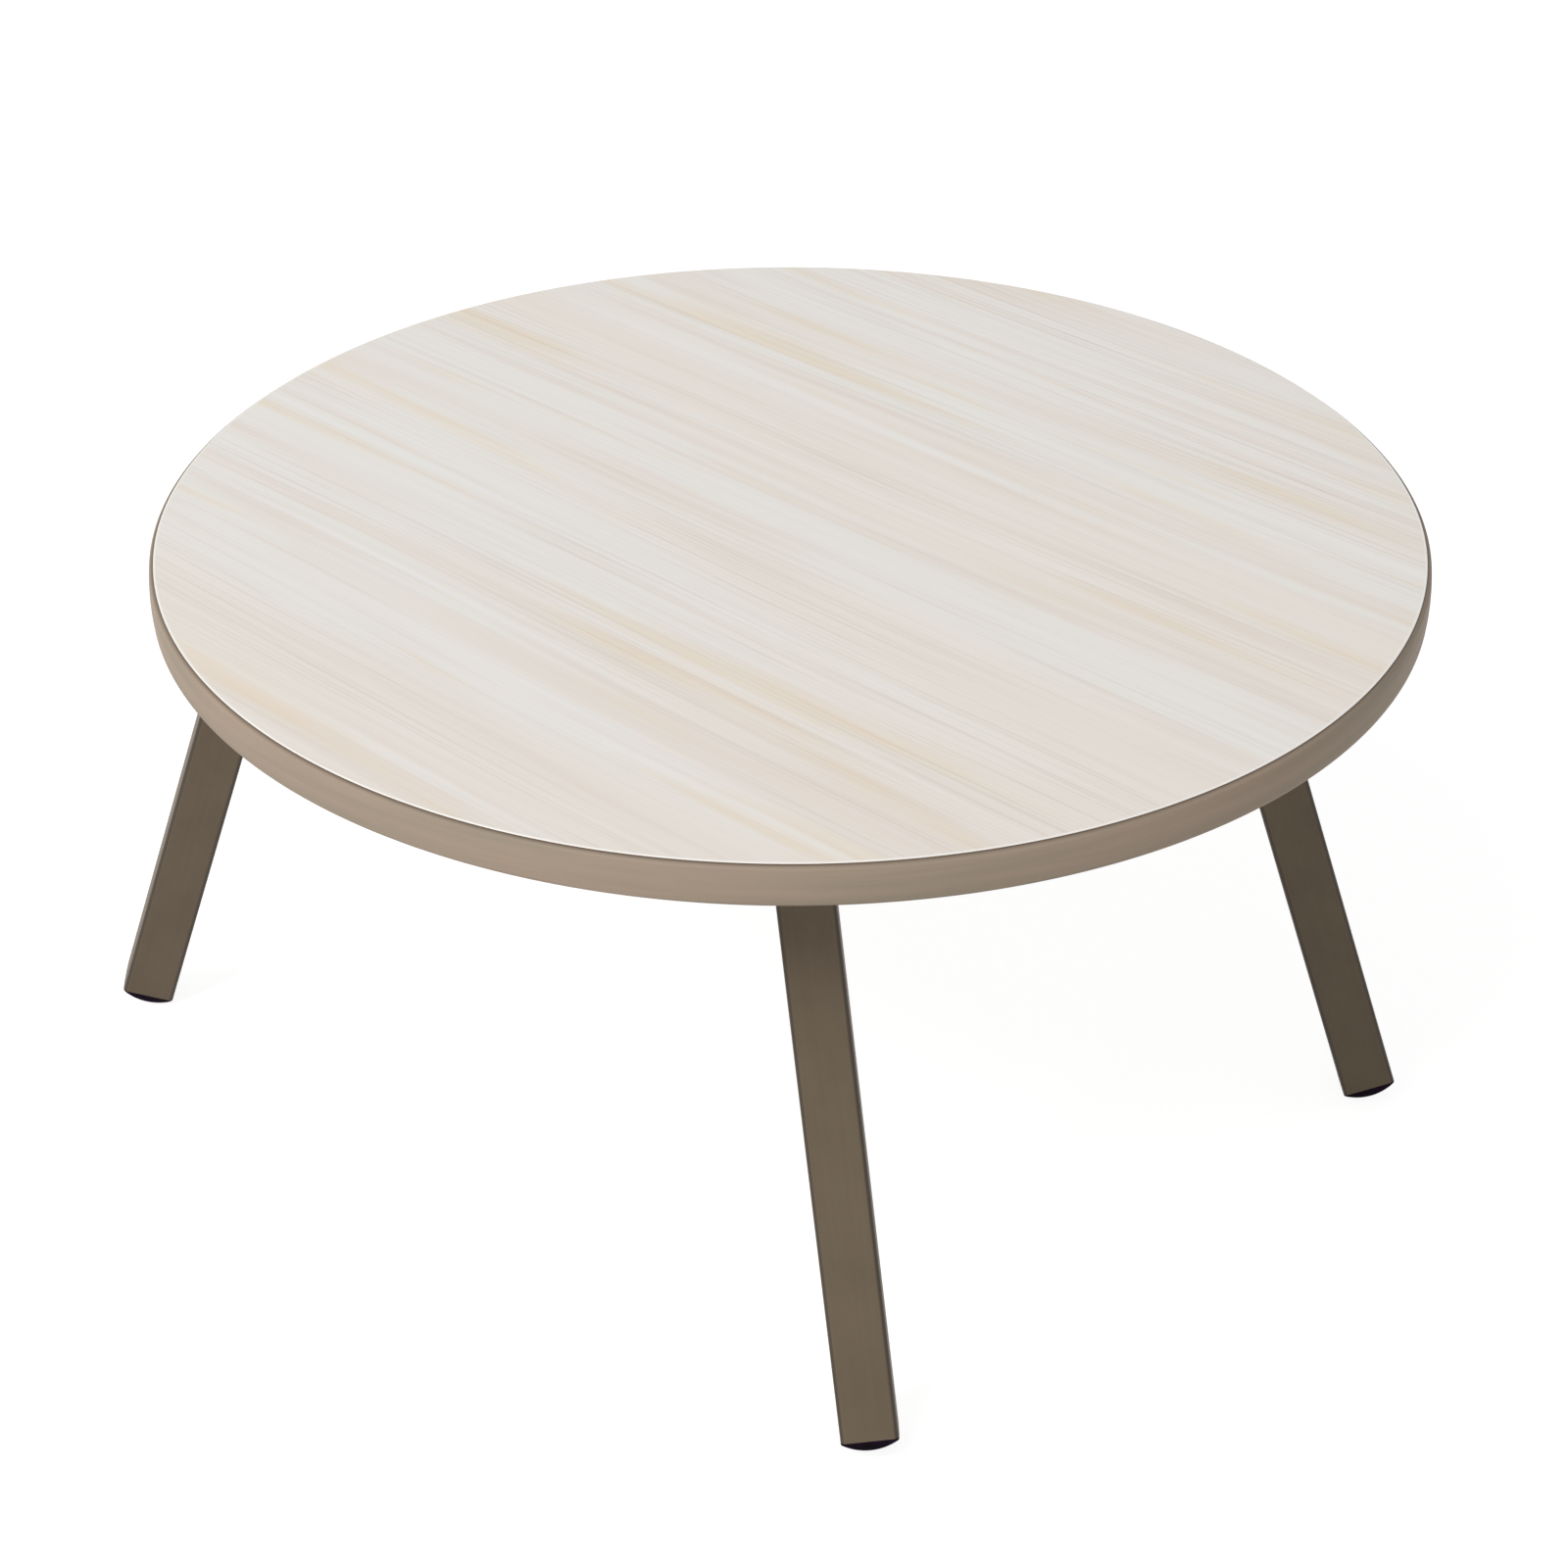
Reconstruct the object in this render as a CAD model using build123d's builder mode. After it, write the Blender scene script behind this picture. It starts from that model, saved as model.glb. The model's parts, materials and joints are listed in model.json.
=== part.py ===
"""Round folding low table: a laminated round top on four square steel legs.

Each leg folds inwards about its own bolt, in a pressed-steel bracket screwed to the
underside of the top. The front right and rear left legs fold first and lie side by side.
The front left and rear right legs fold over them.

Frame: millimetres, +Z up, origin on the floor below the centre of the top.
+X runs along the grain and the long side of the leg rectangle, and the front is -Y.
"""
from build123d import *
import os
from math import asin, cos, degrees, radians, sin, sqrt

os.makedirs("parts", exist_ok=True)

# ---------------------------------------------------------------- the top
table_height = 300.0        # floor to the top face
top_radius = 300.0          # laminated board, without its edge band
core_thickness = 18.0       # particle board
laminate_thickness = 1.2    # decorative laminate on the top face
backing_thickness = 1.2     # plain laminate on the underside
laminate_edge = 0.4         # rounding of the laminate's edge

band_bulge = 2.6            # how far the edge band stands out at mid height
band_shoulder = 2.1         # rounding radius of its shoulders
band_step = 0.2             # how far it lies below the top face
band_seam = 0.4             # butt joint where its two ends meet
band_seam_azimuth = 135.0
spline_depth = 9.0          # the band's spline, pressed into the core
spline_thickness = 2.0
slot_clearance = 0.2        # slot over spline, each side, and at its end
barb_count = 2
barb_length = 2.4
barb_pitch = 3.6

# ---------------------------------------------------------------- where the legs stand
leg_centre_x = -15.0        # centre of the leg rectangle, measured from the centre of the top
leg_centre_y = -16.5
pivot_inset = 68.0          # pivots from a circle as large as the board about the leg centre
fold_offset = 21.5          # sideways distance of a leg's fold line from the leg centre
pivot_drop = 19.0           # underside of the top to the pivot
splay_angle = 17.5          # outward lean of an open leg, in the plane it folds in
side_lean = 6.5             # tilt of that plane, so that the legs also lean sideways

# name: direction in which the foot points, and the hand of the sideways lean
legs = {
    "front_right": (-45.0, 1),
    "rear_right": (45.0, -1),
    "rear_left": (135.0, 1),
    "front_left": (225.0, -1),
}

# ---------------------------------------------------------------- one leg
tube_width = 26.0
tube_wall = 1.2
tube_corner = 2.5
tube_above_pivot = 8.0      # length of tube above the pivot
plug_fit = 0.1              # gap between the tube's bore and a plug's ribs
plug_stub = 17.0            # length of the foot plug inside the tube
plug_dome = 7.5             # height of the ball's cap that the foot plug's head is cut from
rib_count = 3
rib_thickness = 1.6
rib_height = 1.4            # how far a rib stands out from its stub
cap_head = 2.8              # thickness of the top cap's head
cap_stub = 2.8              # length of the top cap inside the tube
cap_rounding = 2.4

# ---------------------------------------------------------------- pivot
bolt_radius = 3.0
bolt_running = 0.08         # radial clearance of the sleeve on the bolt
bolt_free = 0.15            # radial clearance of plain holes over the bolt
bolt_head_radius = 5.3
bolt_head_height = 3.2
bolt_end = 1.5              # thread that stands out of the nut
hex_socket = 4.0            # across flats
hex_depth = 1.8
sleeve_wall = 1.5
washer_thickness = 0.8
washer_radius = 7.0
washer_gap = 0.1            # play between the tube and each nylon washer
nut_flats = 10.0
nut_height = 5.0
nut_collar_height = 1.4     # nylon locking ring's collar
nut_collar_radius = 4.3
nut_collar_taper = 12.0

# ---------------------------------------------------------------- bracket and its screws
sheet = 1.5                 # pressed steel
stop_gap = 0.3              # open leg to the bridge it rests on
cheek_below_pivot = 15.0    # along the open leg
bridge_free = 0.6           # bridge between the cheeks, under the path of the cap's corner
cheek_inner_edge = 7.0      # how far the cheeks reach inwards from the leg's axis
cheek_corner = 5.0
bend_radius = 3.0           # outer radius of the bends between bridge and cheeks
base_length = 62.0          # along the fold direction
base_width = 60.0
base_shift = -4.0           # centre of the base plate, from the pivot, outwards
base_corner = 6.0
screw_spacing_x = 46.0
screw_spacing_y = 47.0
screw_radius = 2.0
screw_length = 15.0
screw_point = 3.0
screw_taper = 25.0
screw_free = 0.3            # radial clearance of the bracket's holes over the screws
screw_head_radius = 3.9
screw_head_height = 2.4
cross_width = 0.9
cross_length = 4.4
cross_depth = 1.3

# ---------------------------------------------------------------- detent spring and its rivet
spring_thickness = 0.8
spring_width = 14.0
spring_anchor = 27.0        # rivet, inwards from the pivot
spring_heel = 4.5           # strip behind the rivet
spring_flat = 9.0           # strip that lies on the base plate, before the rivet
spring_hump = 7.5           # hump, inwards from the pivot
spring_bite = 0.3           # how far the hump reaches into the path of the cap's corner
spring_toe = 7.0            # end of the strip, outwards from the hump
spring_bend = 3.0
rivet_radius = 1.6
rivet_head_radius = 3.2
rivet_head_height = 1.1

# ---------------------------------------------------------------- levels and lengths worked out
core_top = table_height - laminate_thickness
core_bottom = core_top - core_thickness
core_middle = (core_top + core_bottom) / 2
underside = core_bottom - backing_thickness
pivot_height = underside - pivot_drop
pivot_reach = top_radius - pivot_inset   # leg centre to pivot, along the leg's fold direction
base_bottom = underside - sheet

tube_bore = tube_width - 2 * tube_wall
bore_corner = tube_corner - tube_wall
stub_width = tube_bore - 2 * plug_fit
sleeve_radius = bolt_radius + bolt_running + sleeve_wall
cheek_inside = tube_width / 2 + washer_gap + washer_thickness
cheek_outside = cheek_inside + sheet
wall_inside = tube_width / 2 + stop_gap
wall_outside = wall_inside + sheet

# The foot plug's head is a ball's cap, as wide as the tube's section is from corner to corner.
# The leaning leg stands on that ball, so the length of the tube below the pivot follows from the
# height, both leans and the ball's radius.
cap_reach = tube_width / sqrt(2)
dome_radius = (cap_reach ** 2 + plug_dome ** 2) / (2 * plug_dome)
dome_arc = degrees(asin(cap_reach / dome_radius))
down_along_leg = cos(radians(side_lean)) * cos(radians(splay_angle))
tube_below_pivot = (pivot_height - dome_radius) / down_along_leg + dome_radius - plug_dome

# The cap's rounded corner sweeps this circle about the pivot when the leg folds.
cap_top = tube_above_pivot + cap_head
corner_sweep = sqrt((tube_width / 2 - cap_rounding) ** 2 + (cap_top - cap_rounding) ** 2) + cap_rounding
bridge_top = -sqrt((corner_sweep + bridge_free) ** 2 - wall_inside ** 2)


def finish(piece, name):
    """Label a finished piece and write it to its own file."""
    piece.part.label = name
    export_step(piece.part, f"parts/{name}.step")


def seat_plane(name):
    """Underside of the top, above one leg's pivot: x outwards along the fold, z up."""
    azimuth, hand = legs[name]
    outwards = Vector(cos(radians(azimuth)), sin(radians(azimuth)), 0)
    sideways = Vector(-outwards.Y, outwards.X, 0) * hand
    centre = Vector(leg_centre_x, leg_centre_y, underside)
    return Plane(origin=centre + outwards * pivot_reach + sideways * fold_offset,
                 x_dir=outwards, z_dir=(0, 0, 1))


def turned(plane, direction, angle):
    """Copy of a plane, turned where it stands about a direction through its origin."""
    hinge = Axis((0, 0, 0), direction)
    return Plane(origin=plane.origin,
                 x_dir=plane.x_dir.rotate(hinge, angle),
                 z_dir=plane.z_dir.rotate(hinge, angle))


def leg_plane(name):
    """Pivot of one open leg: z up along the leg, y along the bolt, x out of its outer face."""
    hand = legs[name][1]
    pivot = seat_plane(name).offset(-pivot_drop)
    swing = turned(pivot, pivot.x_dir, side_lean * hand)
    return turned(swing, swing.y_dir, -splay_angle)


def side_view(plane):
    """Plane in which x and y of a sketch are x and z of the given plane. It faces along -y."""
    return Plane(origin=plane.origin, x_dir=plane.x_dir, z_dir=-plane.y_dir)


def end_view(plane):
    """Plane in which x and y of a sketch are y and z of the given plane. It faces along +x."""
    return Plane(origin=plane.origin, x_dir=plane.y_dir, z_dir=plane.x_dir)


def screw_places():
    """The four screws of a bracket, on its seat plane."""
    return [(base_shift + sx * screw_spacing_x / 2, sy * screw_spacing_y / 2)
            for sx in (-1, 1) for sy in (-1, 1)]


# ================================================================ top

# Core: a round board with the band's slot in its edge and a pilot hole for every screw.
slot_half = spline_thickness / 2 + slot_clearance
slot_depth = spline_depth + slot_clearance
pilot_depth = screw_length - sheet - backing_thickness
with BuildPart() as top_core:
    with BuildSketch(Plane.XY.offset(core_bottom)):
        Circle(top_radius)
    extrude(amount=core_thickness)
    with BuildSketch(Plane.XY.offset(core_middle - slot_half)):
        Circle(top_radius)
        Circle(top_radius - slot_depth, mode=Mode.SUBTRACT)
    extrude(amount=2 * slot_half, mode=Mode.SUBTRACT)
    for leg in legs:
        with BuildSketch(seat_plane(leg).offset(backing_thickness)):
            with Locations(*screw_places()):
                Circle(screw_radius)
        extrude(amount=pilot_depth, mode=Mode.SUBTRACT)
finish(top_core, "top_core")

# Decorative laminate, its upper edge eased.
with BuildPart() as top_laminate:
    with BuildSketch(Plane.XY.offset(core_top)):
        Circle(top_radius)
    extrude(amount=laminate_thickness)
    fillet(top_laminate.edges().group_by(Axis.Z)[-1], laminate_edge)
finish(top_laminate, "top_laminate")

# Backing laminate, with the screws' holes through it.
with BuildPart() as backing_laminate:
    with BuildSketch(Plane.XY.offset(underside)):
        Circle(top_radius)
    extrude(amount=backing_thickness)
    for leg in legs:
        with BuildSketch(seat_plane(leg)):
            with Locations(*screw_places()):
                Circle(screw_radius)
        extrude(amount=backing_thickness, mode=Mode.SUBTRACT)
finish(backing_laminate, "backing_laminate")

# Edge band: a D-shaped moulding with a barbed spline, wrapped round the board and butted.
band_top = table_height - band_step
band_middle = (band_top + underside) / 2
crown = band_bulge - band_shoulder
with BuildPart() as edge_band:
    with BuildSketch(Plane.XZ):
        with BuildLine():
            upper = CenterArc((top_radius, band_top - band_shoulder), band_shoulder, 0, 90)
            lower = CenterArc((top_radius, underside + band_shoulder), band_shoulder, 270, 90)
            ThreePointArc(upper @ 0, (top_radius + band_shoulder + crown, band_middle), lower @ 1)
            Line(lower @ 0, upper @ 1)
        make_face()
        with Locations((top_radius, core_middle)):
            Rectangle(spline_depth, spline_thickness, align=(Align.MAX, Align.CENTER))
        for barb in range(barb_count):
            tip = top_radius - spline_depth + barb * barb_pitch
            with BuildLine():
                Polyline((tip, core_middle),
                         (tip + barb_length, core_middle + slot_half),
                         (tip + barb_length, core_middle - slot_half),
                         close=True)
            make_face()
    revolve(axis=Axis.Z)
    with BuildSketch(Plane.XY.offset(underside - band_shoulder)):
        seam_width = 2 * (spline_depth + band_bulge)
        with Locations(Location((0, 0, 0), (0, 0, band_seam_azimuth))):
            with Locations((top_radius, 0)):
                Rectangle(seam_width, band_seam)
    extrude(amount=table_height - underside + band_shoulder, mode=Mode.SUBTRACT)
finish(edge_band, "edge_band")

# ================================================================ legs and brackets

for leg in legs:
    seat = seat_plane(leg)
    axis = leg_plane(leg)
    tube_foot = axis.offset(-tube_below_pivot)
    tube_head = axis.offset(tube_above_pivot)
    along_leg = Axis(axis.origin, axis.z_dir)
    along_bolt = Axis(axis.origin, axis.y_dir)

    # Leg: square tube, both walls drilled for the sleeve.
    with BuildPart() as leg_tube:
        with BuildSketch(tube_foot):
            RectangleRounded(tube_width, tube_width, tube_corner)
            RectangleRounded(tube_bore, tube_bore, bore_corner, mode=Mode.SUBTRACT)
        extrude(amount=tube_below_pivot + tube_above_pivot)
        with BuildSketch(side_view(axis)):
            Circle(sleeve_radius)
        extrude(amount=tube_width, both=True, mode=Mode.SUBTRACT)
    finish(leg_tube, f"leg_tube_{leg}")

    # Sleeve across the tube, flush with its faces.
    with BuildPart() as pivot_sleeve:
        with BuildSketch(side_view(axis)):
            Circle(sleeve_radius)
            Circle(bolt_radius + bolt_running, mode=Mode.SUBTRACT)
        extrude(amount=tube_width / 2, both=True)
    finish(pivot_sleeve, f"pivot_sleeve_{leg}")

    # Foot plug: a domed head with the tube's outline, and a ribbed stub inside the tube.
    with BuildPart() as foot_plug:
        with BuildSketch(tube_foot):
            RectangleRounded(tube_width, tube_width, tube_corner)
        extrude(amount=-plug_dome)
        with BuildSketch(side_view(tube_foot)):
            with BuildLine():
                dome = CenterArc((0, dome_radius - plug_dome), dome_radius, 270, dome_arc)
                Polyline(dome @ 1, (0, 0), dome @ 0)
            make_face()
        revolve(axis=along_leg, mode=Mode.INTERSECT)
        with BuildSketch(tube_foot):
            RectangleRounded(stub_width - 2 * rib_height, stub_width - 2 * rib_height, bore_corner)
        extrude(amount=plug_stub)
        for rib in range(rib_count):
            rib_start = rib * (plug_stub - rib_thickness) / rib_count + rib_thickness
            with BuildSketch(tube_foot.offset(rib_start)):
                RectangleRounded(stub_width, stub_width, bore_corner)
            extrude(amount=rib_thickness)
    finish(foot_plug, f"foot_plug_{leg}")

    # Top cap: closes the tube above the pivot. Its rounded corners pass the detent spring.
    with BuildPart() as top_cap:
        with BuildSketch(tube_head):
            RectangleRounded(tube_width, tube_width, tube_corner)
        extrude(amount=cap_head)
        fillet(top_cap.edges().filter_by(along_bolt).group_by(along_leg)[-1], cap_rounding)
        with BuildSketch(tube_head):
            RectangleRounded(stub_width, stub_width, bore_corner)
        extrude(amount=-cap_stub)
    finish(top_cap, f"top_cap_{leg}")

    # Bracket: two cheeks joined by a bridge low on the leg's outer side, under a flat base plate.
    with BuildPart() as leg_bracket:
        with BuildSketch(axis.offset(-cheek_below_pivot)) as channel:
            with Locations((wall_outside, 0)):
                Rectangle(wall_outside + cheek_inner_edge, 2 * cheek_outside,
                          align=(Align.MAX, Align.CENTER))
            with Locations((wall_inside, 0)):
                Rectangle(wall_inside + cheek_inner_edge, 2 * cheek_inside,
                          align=(Align.MAX, Align.CENTER), mode=Mode.SUBTRACT)
            fillet(channel.vertices().group_by(Axis.X)[1], bend_radius - sheet)
            fillet(channel.vertices().group_by(Axis.X)[-1], bend_radius)
        extrude(amount=cheek_below_pivot + 2 * pivot_drop)
        split(bisect_by=Plane.XY.offset(base_bottom), keep=Keep.BOTTOM)
        ends = leg_bracket.edges().filter_by(along_bolt).group_by(along_leg)[0]
        fillet(ends.filter_by(lambda edge: edge.length < 1.01 * sheet), cheek_corner)
        with BuildSketch(end_view(axis)):
            with Locations((0, bridge_top)):
                Rectangle(2 * cheek_inside, 2 * pivot_drop, align=(Align.CENTER, Align.MIN))
        extrude(amount=2 * wall_outside, mode=Mode.SUBTRACT)
        with BuildSketch(side_view(axis)):
            Circle(bolt_radius + bolt_free)
        extrude(amount=2 * cheek_outside, both=True, mode=Mode.SUBTRACT)
        with BuildSketch(seat) as base:
            with Locations((base_shift, 0)):
                RectangleRounded(base_length, base_width, base_corner)
            with Locations(*screw_places()):
                Circle(screw_radius + screw_free, mode=Mode.SUBTRACT)
            with Locations((-spring_anchor, 0)):
                Circle(rivet_radius, mode=Mode.SUBTRACT)
        extrude(amount=-sheet)
    finish(leg_bracket, f"leg_bracket_{leg}")

    # Detent spring: a strip riveted to the base plate, with a hump in the cap corner's path.
    strip_level = -sheet - spring_thickness / 2
    hump_reach = sqrt(corner_sweep ** 2 - spring_hump ** 2) - spring_bite
    hump_level = hump_reach - pivot_drop + spring_thickness / 2
    with BuildPart() as detent_spring:
        with BuildSketch(side_view(seat)):
            with BuildLine():
                FilletPolyline((-spring_anchor - spring_heel, strip_level),
                               (-spring_anchor + spring_flat, strip_level),
                               (-spring_hump, hump_level),
                               (spring_toe - spring_hump, strip_level - spring_bite),
                               radius=spring_bend)
            trace(line_width=spring_thickness)
        extrude(amount=spring_width / 2, both=True)
        with BuildSketch(seat):
            with Locations((-spring_anchor, 0)):
                Circle(rivet_radius)
        extrude(amount=-2 * sheet, mode=Mode.SUBTRACT)
    finish(detent_spring, f"detent_spring_{leg}")

# ================================================================ fasteners, one file for each kind

# Pivot bolts: button head outside one cheek, thread out of the nut beyond the other.
bolt_length = 2 * cheek_outside + nut_height + nut_collar_height + bolt_end
with BuildPart() as pivot_bolts:
    for leg in legs:
        view = side_view(leg_plane(leg))
        with BuildSketch(view.offset(-cheek_outside - bolt_head_height)):
            Circle(bolt_head_radius)
        head = extrude(amount=bolt_head_height)
        rim = head.edges().filter_by(GeomType.CIRCLE).sort_by(Axis(view.origin, view.z_dir))[0]
        fillet(rim, bolt_head_height / 2)
        with BuildSketch(view.offset(-cheek_outside)):
            Circle(bolt_radius)
        extrude(amount=bolt_length)
        with BuildSketch(view.offset(-cheek_outside - bolt_head_height)):
            RegularPolygon(hex_socket / 2, 6, major_radius=False)
        extrude(amount=hex_depth, mode=Mode.SUBTRACT)
finish(pivot_bolts, "pivot_bolts")

# Lock nuts: a hexagon with a round collar over its nylon ring.
with BuildPart() as pivot_nuts:
    for leg in legs:
        view = side_view(leg_plane(leg))
        with BuildSketch(view.offset(cheek_outside)):
            RegularPolygon(nut_flats / 2, 6, major_radius=False)
            Circle(bolt_radius, mode=Mode.SUBTRACT)
        extrude(amount=nut_height)
        with BuildSketch(view.offset(cheek_outside + nut_height)):
            Circle(nut_collar_radius)
            Circle(bolt_radius, mode=Mode.SUBTRACT)
        extrude(amount=nut_collar_height, taper=nut_collar_taper)
finish(pivot_nuts, "pivot_nuts")

# Nylon washers, one on each side of every leg.
with BuildPart() as pivot_washers:
    for leg in legs:
        view = side_view(leg_plane(leg))
        for start in (-cheek_inside, cheek_inside - washer_thickness):
            with BuildSketch(view.offset(start)):
                Circle(washer_radius)
                Circle(bolt_radius + bolt_free, mode=Mode.SUBTRACT)
            extrude(amount=washer_thickness)
finish(pivot_washers, "pivot_washers")

# Pan-head screws: dome, cross recess, shank and point.
with BuildPart() as bracket_screws:
    for leg in legs:
        head_seat = seat_plane(leg).offset(-sheet)
        with BuildSketch(head_seat):
            with Locations(*screw_places()):
                Circle(screw_head_radius)
        heads = extrude(amount=-screw_head_height)
        fillet(heads.edges().group_by(Axis.Z)[0], screw_head_height / 2)
        with BuildSketch(head_seat):
            with Locations(*screw_places()):
                Circle(screw_radius)
        extrude(amount=screw_length - screw_point)
        with BuildSketch(head_seat.offset(screw_length - screw_point)):
            with Locations(*screw_places()):
                Circle(screw_radius)
        extrude(amount=screw_point, taper=screw_taper)
        with BuildSketch(head_seat.offset(-screw_head_height)):
            with Locations(*screw_places()):
                Rectangle(cross_length, cross_width)
                Rectangle(cross_width, cross_length)
        extrude(amount=cross_depth, mode=Mode.SUBTRACT)
finish(bracket_screws, "bracket_screws")

# Rivets of the detent springs: a domed head under the strip, the shank flush in the base plate.
with BuildPart() as spring_rivets:
    for leg in legs:
        strip_bottom = seat_plane(leg).offset(-sheet - spring_thickness)
        with BuildSketch(strip_bottom):
            with Locations((-spring_anchor, 0)):
                Circle(rivet_radius)
        extrude(amount=sheet + spring_thickness)
        with BuildSketch(strip_bottom):
            with Locations((-spring_anchor, 0)):
                Circle(rivet_head_radius)
        head = extrude(amount=-rivet_head_height)
        fillet(head.edges().group_by(Axis.Z)[0], rivet_head_height / 2)
finish(spring_rivets, "spring_rivets")

for leg in legs:
    pivot = leg_plane(leg)
    print(f"{leg}: pivot {tuple(round(v, 2) for v in pivot.origin)},",
          f"bolt {tuple(round(v, 5) for v in pivot.y_dir)}")
print(f"pivot height {pivot_height:.2f}, tube below pivot {tube_below_pivot:.2f}",
      f"corner sweep {corner_sweep:.2f}")
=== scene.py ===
# %% [markdown]
# # A round folding low table
#
# The table is a laminated round board, edged with a soft plastic moulding, on four square
# steel legs that fold in under it. The construction is already there as a frame: every
# board, tube, bracket and bolt at its real size. This script gives it its looks. Pieces whose
# roundness has to read smoothly are worked out again as surfaces, and every piece gets a
# finish that is built up from what the real material is.

# %% Load the frame
import bmesh
import bpy
import json
import numpy as np
from math import cos, radians, sin
from mathutils import Matrix, Vector


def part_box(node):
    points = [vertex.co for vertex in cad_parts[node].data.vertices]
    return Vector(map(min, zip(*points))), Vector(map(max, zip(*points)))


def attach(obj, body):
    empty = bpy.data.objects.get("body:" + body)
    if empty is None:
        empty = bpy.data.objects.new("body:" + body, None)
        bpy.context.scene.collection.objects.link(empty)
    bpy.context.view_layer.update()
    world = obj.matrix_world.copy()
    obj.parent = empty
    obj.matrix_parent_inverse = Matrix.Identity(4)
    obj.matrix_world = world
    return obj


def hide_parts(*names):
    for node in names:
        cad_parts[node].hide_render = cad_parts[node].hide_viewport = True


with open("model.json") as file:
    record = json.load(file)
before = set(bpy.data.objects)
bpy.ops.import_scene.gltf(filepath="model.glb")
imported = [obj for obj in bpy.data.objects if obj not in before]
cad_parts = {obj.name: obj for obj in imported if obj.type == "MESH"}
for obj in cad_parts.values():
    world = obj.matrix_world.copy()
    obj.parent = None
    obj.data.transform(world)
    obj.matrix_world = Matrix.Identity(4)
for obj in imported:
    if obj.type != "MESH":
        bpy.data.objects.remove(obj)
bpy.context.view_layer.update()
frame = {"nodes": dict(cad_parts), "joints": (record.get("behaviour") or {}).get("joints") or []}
MM = 0.001
LEGS = ("front_left", "front_right", "rear_left", "rear_right")

# %% [markdown]
# ## Helpers
#
# A colour is chosen as an sRGB code, but light adds up in linear numbers, so every
# code goes through one function. A material is a small network of nodes, and one function
# adds a node with its settings and its links. Many patterns are noise with a size of its own
# along each axis. A Mapping node gives it that size, and a Location there picks another stretch
# of the same noise. The values of noise crowd round a half, so a finish with two tones spreads
# only those between a low and a high level over its tones.

# %% Colours and nodes
noise_low, noise_high = 0.35, 0.65


def linear(code):
    """Linear colour of an sRGB hex code: each channel is divided by 12.92 below the knee, and
    above it shifted by 0.055, scaled back and raised to the power 2.4."""
    channels = np.array([int(code[at:at + 2], 16) for at in (1, 3, 5)]) / 255
    curved = ((channels + 0.055) / 1.055) ** 2.4
    return (*np.where(channels <= 0.04045, channels / 12.92, curved).tolist(), 1.0)


def add(tree, kind, inputs=None, **settings):
    """Add a node. An input is linked if its value is another node's output, and set if not."""
    node = tree.nodes.new(kind)
    for name, value in settings.items():
        setattr(node, name, value)
    for key, value in (inputs or {}).items():
        if isinstance(value, bpy.types.NodeSocket):
            tree.links.new(value, node.inputs[key])
        else:
            node.inputs[key].default_value = value
    return node


def new_material(name, **sockets):
    """A material with a Principled shader joined to its output, and some of its sockets set."""
    material = bpy.data.materials.new(name)
    material.use_nodes = True
    tree = material.node_tree
    tree.nodes.clear()
    shader = add(tree, "ShaderNodeBsdfPrincipled", sockets)
    add(tree, "ShaderNodeOutputMaterial", {"Surface": shader.outputs["BSDF"]})
    return material, tree, shader


def patches_of(*sizes):
    """Scale that makes a pattern's patches as long as the sizes along x, y and z, which are in
    millimetres: one divided by each."""
    return tuple(1 / (size * MM) for size in sizes)


def from_axis(tree, place):
    """Distance of a place from the table's vertical axis: its length when its height is put to
    zero, which a scale of zero along z does."""
    level = add(tree, "ShaderNodeMapping", {"Vector": place, "Scale": (1, 1, 0)})
    return add(tree, "ShaderNodeVectorMath", {0: level.outputs[0]}, operation="LENGTH").outputs[1]


def dress(thing, material):
    """Put one material in all of an object's slots."""
    if not thing.data.materials:
        thing.data.materials.append(material)
    for number in range(len(thing.data.materials)):
        thing.data.materials[number] = material


print("white and mid grey in linear numbers:", linear("#ffffff")[0], round(linear("#808080")[0], 3))

# %% [markdown]
# ## From arrays to meshes
#
# Every new surface here is a grid of points: rows along one direction and columns along the
# other. Joining each point to its neighbours gives the faces. A grid can close on itself, as
# a ring does, and where all the points of a row meet in a pole they are merged.

# %% Grid to mesh
merge_distance = 0.001 * MM


def grid_faces(rows, columns, ring_rows, ring_columns):
    """Faces of a grid in which the point in row i and column j has the number i * columns + j.
    Face (i, j) joins it to the next column, the next row and column, and the next row. A ring
    goes on past its last row or column to the first."""
    i = np.arange(rows if ring_rows else rows - 1)[:, None]
    j = np.arange(columns if ring_columns else columns - 1)[None, :]
    i_next, j_next = (i + 1) % rows, (j + 1) % columns
    corners = (i * columns + j, i * columns + j_next, i_next * columns + j_next, i_next * columns + j)
    return np.stack(corners, axis=-1).reshape(-1, 4)


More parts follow.
